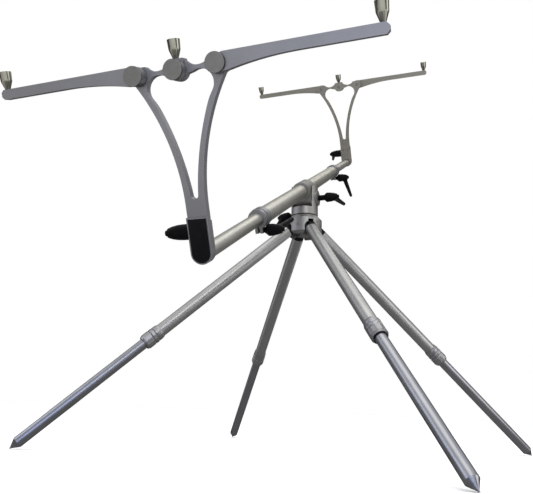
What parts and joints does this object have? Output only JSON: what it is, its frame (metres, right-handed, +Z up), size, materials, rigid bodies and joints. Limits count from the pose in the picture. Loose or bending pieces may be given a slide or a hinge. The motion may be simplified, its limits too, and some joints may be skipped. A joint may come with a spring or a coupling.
{
  "type": "rod pod",
  "caption": "Folding rod pod: telescopic spiked legs on a hub, a panning and tilting telescopic bar, and folding buzz bars with threaded rod cups at both ends.",
  "frame": {"origin": "on the ground under the hub's axis, level with the tips of the leg spikes", "axes": "+Z up, +Y along the bar towards its raised rear end, +X to the right seen from the low end"},
  "size_m": [0.8766, 1.2125, 1.0732],
  "materials": {
    "silver_anodised": "satin anodised",
    "satin_anodised": "satin anodised, bead blasted",
    "bright_tube": "bright anodised",
    "bolt_alloy": "satin turned",
    "pin_steel": "turned",
    "spike_steel": "turned",
    "nickel_cup": "bright nickel",
    "black_lever": "matt",
    "black_hinge": "matt",
    "black_plate": "gloss"
  },
  "bodies": {
    "hub": {"hub": "silver_anodised", "leg_pins": "pin_steel"},
    "leg_1": {"leg_1_tongue": "black_hinge", "leg_1_upper_tube": "silver_anodised", "leg_1_lock_collar": "silver_anodised"},
    "leg_1_nut": {"leg_1_lock_nut": "silver_anodised"},
    "leg_1_lower": {"leg_1_lower_tube": "bright_tube", "leg_1_spike": "spike_steel"},
    "leg_2": {"leg_2_tongue": "black_hinge", "leg_2_upper_tube": "silver_anodised", "leg_2_lock_collar": "silver_anodised"},
    "leg_2_nut": {"leg_2_lock_nut": "silver_anodised"},
    "leg_2_lower": {"leg_2_lower_tube": "bright_tube", "leg_2_spike": "spike_steel"},
    "leg_3": {"leg_3_tongue": "black_hinge", "leg_3_upper_tube": "silver_anodised", "leg_3_lock_collar": "silver_anodised"},
    "leg_3_nut": {"leg_3_lock_nut": "silver_anodised"},
    "leg_3_lower": {"leg_3_lower_tube": "bright_tube", "leg_3_spike": "spike_steel"},
    "leg_4": {"leg_4_tongue": "black_hinge", "leg_4_upper_tube": "silver_anodised", "leg_4_lock_collar": "silver_anodised"},
    "leg_4_nut": {"leg_4_lock_nut": "silver_anodised"},
    "leg_4_lower": {"leg_4_lower_tube": "bright_tube", "leg_4_spike": "spike_steel"},
    "head": {"head_fork": "silver_anodised", "tilt_pin": "pin_steel"},
    "pan_lever": {"pan_lever": "black_lever"},
    "tilt_lever": {"tilt_lever": "black_lever"},
    "bar": {"tilt_block": "silver_anodised", "main_tube": "silver_anodised", "front_clamp": "silver_anodised", "rear_clamp": "silver_anodised"},
    "front_clamp_lever": {"front_clamp_lever": "black_lever"},
    "front_reach": {"front_inner_tube": "bright_tube", "front_socket": "satin_anodised", "front_badge": "black_plate"},
    "front_socket_lever": {"front_socket_lever": "black_lever"},
    "front_buzz_bar": {"front_yoke": "satin_anodised", "front_hinge_bolts": "bolt_alloy", "front_centre_cup": "nickel_cup"},
    "front_left_arm": {"front_left_arm": "satin_anodised", "front_left_cup": "nickel_cup"},
    "front_right_arm": {"front_right_arm": "satin_anodised", "front_right_cup": "nickel_cup"},
    "rear_clamp_lever": {"rear_clamp_lever": "black_lever"},
    "rear_reach": {"rear_inner_tube": "bright_tube", "rear_socket": "satin_anodised", "rear_badge": "black_plate"},
    "rear_socket_lever": {"rear_socket_lever": "black_lever"},
    "rear_buzz_bar": {"rear_yoke": "satin_anodised", "rear_hinge_bolts": "bolt_alloy", "rear_centre_cup": "nickel_cup"},
    "rear_left_arm": {"rear_left_arm": "satin_anodised", "rear_left_cup": "nickel_cup"},
    "rear_right_arm": {"rear_right_arm": "satin_anodised", "rear_right_cup": "nickel_cup"}
  },
  "joints": [
    {"name": "leg_1_fold", "type": "hinge", "parent": "hub", "child": "leg_1", "pos_m": [0.02106, 0.01525, 0.46034], "axis": [-0.5864, 0.81, 0], "range_deg": [0, 46]},
    {"name": "leg_1_nut_turn", "type": "hinge", "parent": "leg_1", "child": "leg_1_nut", "pos_m": [0.02106, 0.01525, 0.46034], "axis": [0.6039, 0.4371, -0.6665], "range_deg": [-90, 90]},
    {"name": "leg_1_extend", "type": "slide", "parent": "leg_1", "child": "leg_1_lower", "axis": [0.6039, 0.4371, -0.6665], "range_m": [-0.255, 0]},
    {"name": "leg_2_fold", "type": "hinge", "parent": "hub", "child": "leg_2", "pos_m": [-0.01525, 0.02106, 0.46034], "axis": [-0.81, -0.5864, 0], "range_deg": [0, 46]},
    {"name": "leg_2_nut_turn", "type": "hinge", "parent": "leg_2", "child": "leg_2_nut", "pos_m": [-0.01525, 0.02106, 0.46034], "axis": [-0.4371, 0.6039, -0.6665], "range_deg": [-90, 90]},
    {"name": "leg_2_extend", "type": "slide", "parent": "leg_2", "child": "leg_2_lower", "axis": [-0.4371, 0.6039, -0.6665], "range_m": [-0.255, 0]},
    {"name": "leg_3_fold", "type": "hinge", "parent": "hub", "child": "leg_3", "pos_m": [-0.02106, -0.01525, 0.46034], "axis": [0.5864, -0.81, 0], "range_deg": [0, 46]},
    {"name": "leg_3_nut_turn", "type": "hinge", "parent": "leg_3", "child": "leg_3_nut", "pos_m": [-0.02106, -0.01525, 0.46034], "axis": [-0.6039, -0.4371, -0.6665], "range_deg": [-90, 90]},
    {"name": "leg_3_extend", "type": "slide", "parent": "leg_3", "child": "leg_3_lower", "axis": [-0.6039, -0.4371, -0.6665], "range_m": [-0.255, 0]},
    {"name": "leg_4_fold", "type": "hinge", "parent": "hub", "child": "leg_4", "pos_m": [0.01525, -0.02106, 0.46034], "axis": [0.81, 0.5864, 0], "range_deg": [0, 46]},
    {"name": "leg_4_nut_turn", "type": "hinge", "parent": "leg_4", "child": "leg_4_nut", "pos_m": [0.01525, -0.02106, 0.46034], "axis": [0.4371, -0.6039, -0.6665], "range_deg": [-90, 90]},
    {"name": "leg_4_extend", "type": "slide", "parent": "leg_4", "child": "leg_4_lower", "axis": [0.4371, -0.6039, -0.6665], "range_m": [-0.255, 0]},
    {"name": "head_pan", "type": "hinge", "parent": "hub", "child": "head", "pos_m": [0, 0, 0.48504], "axis": [0, 0, 1], "continuous": true},
    {"name": "pan_lever_turn", "type": "hinge", "parent": "head", "child": "pan_lever", "pos_m": [-0.02864, 0.00459, 0.49154], "axis": [-0.9874, 0.1582, 0], "range_deg": [0, 90]},
    {"name": "tilt_lever_turn", "type": "hinge", "parent": "head", "child": "tilt_lever", "pos_m": [0.029, 0, 0.52784], "axis": [1, 0, 0], "range_deg": [-60, 60]},
    {"name": "bar_tilt", "type": "hinge", "parent": "head", "child": "bar", "pos_m": [0, 0, 0.52784], "axis": [1, 0, 0], "range_deg": [-68.4, 11.6]},
    {"name": "front_clamp_lever_turn", "type": "hinge", "parent": "bar", "child": "front_clamp_lever", "pos_m": [0.00675, -0.29373, 0.36948], "axis": [1, 0, 0], "range_deg": [-45, 45]},
    {"name": "front_reach_slide", "type": "slide", "parent": "bar", "child": "front_reach", "axis": [0, -0.8796, -0.4756], "range_m": [-0.19, 0.07]},
    {"name": "front_socket_lever_turn", "type": "hinge", "parent": "front_reach", "child": "front_socket_lever", "pos_m": [-0.015, -0.52949, 0.29953], "axis": [-1, 0, 0], "range_deg": [-45, 45]},
    {"name": "front_buzz_bar_lift", "type": "slide", "parent": "front_reach", "child": "front_buzz_bar", "axis": [0, -0.4446, 0.8957], "range_m": [0, 0.02]},
    {"name": "front_left_arm_fold", "type": "hinge", "parent": "front_buzz_bar", "child": "front_left_arm", "pos_m": [-0.055, -0.62889, 0.47504], "axis": [0, -0.8957, -0.4446], "range_deg": [0, 78]},
    {"name": "front_right_arm_fold", "type": "hinge", "parent": "front_buzz_bar", "child": "front_right_arm", "pos_m": [0.055, -0.62889, 0.47504], "axis": [0, 0.8957, 0.4446], "range_deg": [0, 78]},
    {"name": "rear_clamp_lever_turn", "type": "hinge", "parent": "bar", "child": "rear_clamp_lever", "pos_m": [0.00675, 0.31587, 0.69908], "axis": [1, 0, 0], "range_deg": [-45, 45]},
    {"name": "rear_reach_slide", "type": "slide", "parent": "bar", "child": "rear_reach", "axis": [0, 0.8796, 0.4756], "range_m": [-0.19, 0.07]},
    {"name": "rear_socket_lever_turn", "type": "hinge", "parent": "rear_reach", "child": "rear_socket_lever", "pos_m": [-0.015, 0.50595, 0.8594], "axis": [-1, 0, 0], "range_deg": [-45, 45]},
    {"name": "rear_buzz_bar_lift", "type": "slide", "parent": "rear_reach", "child": "rear_buzz_bar", "axis": [0, -0.506, 0.8625], "range_m": [0, 0.02]},
    {"name": "rear_left_arm_fold", "type": "hinge", "parent": "rear_buzz_bar", "child": "rear_left_arm", "pos_m": [-0.055, 0.41353, 1.03867], "axis": [0, -0.8625, -0.506], "range_deg": [0, 78]},
    {"name": "rear_right_arm_fold", "type": "hinge", "parent": "rear_buzz_bar", "child": "rear_right_arm", "pos_m": [0.055, 0.41353, 1.03867], "axis": [0, 0.8625, 0.506], "range_deg": [0, 78]}
  ]
}
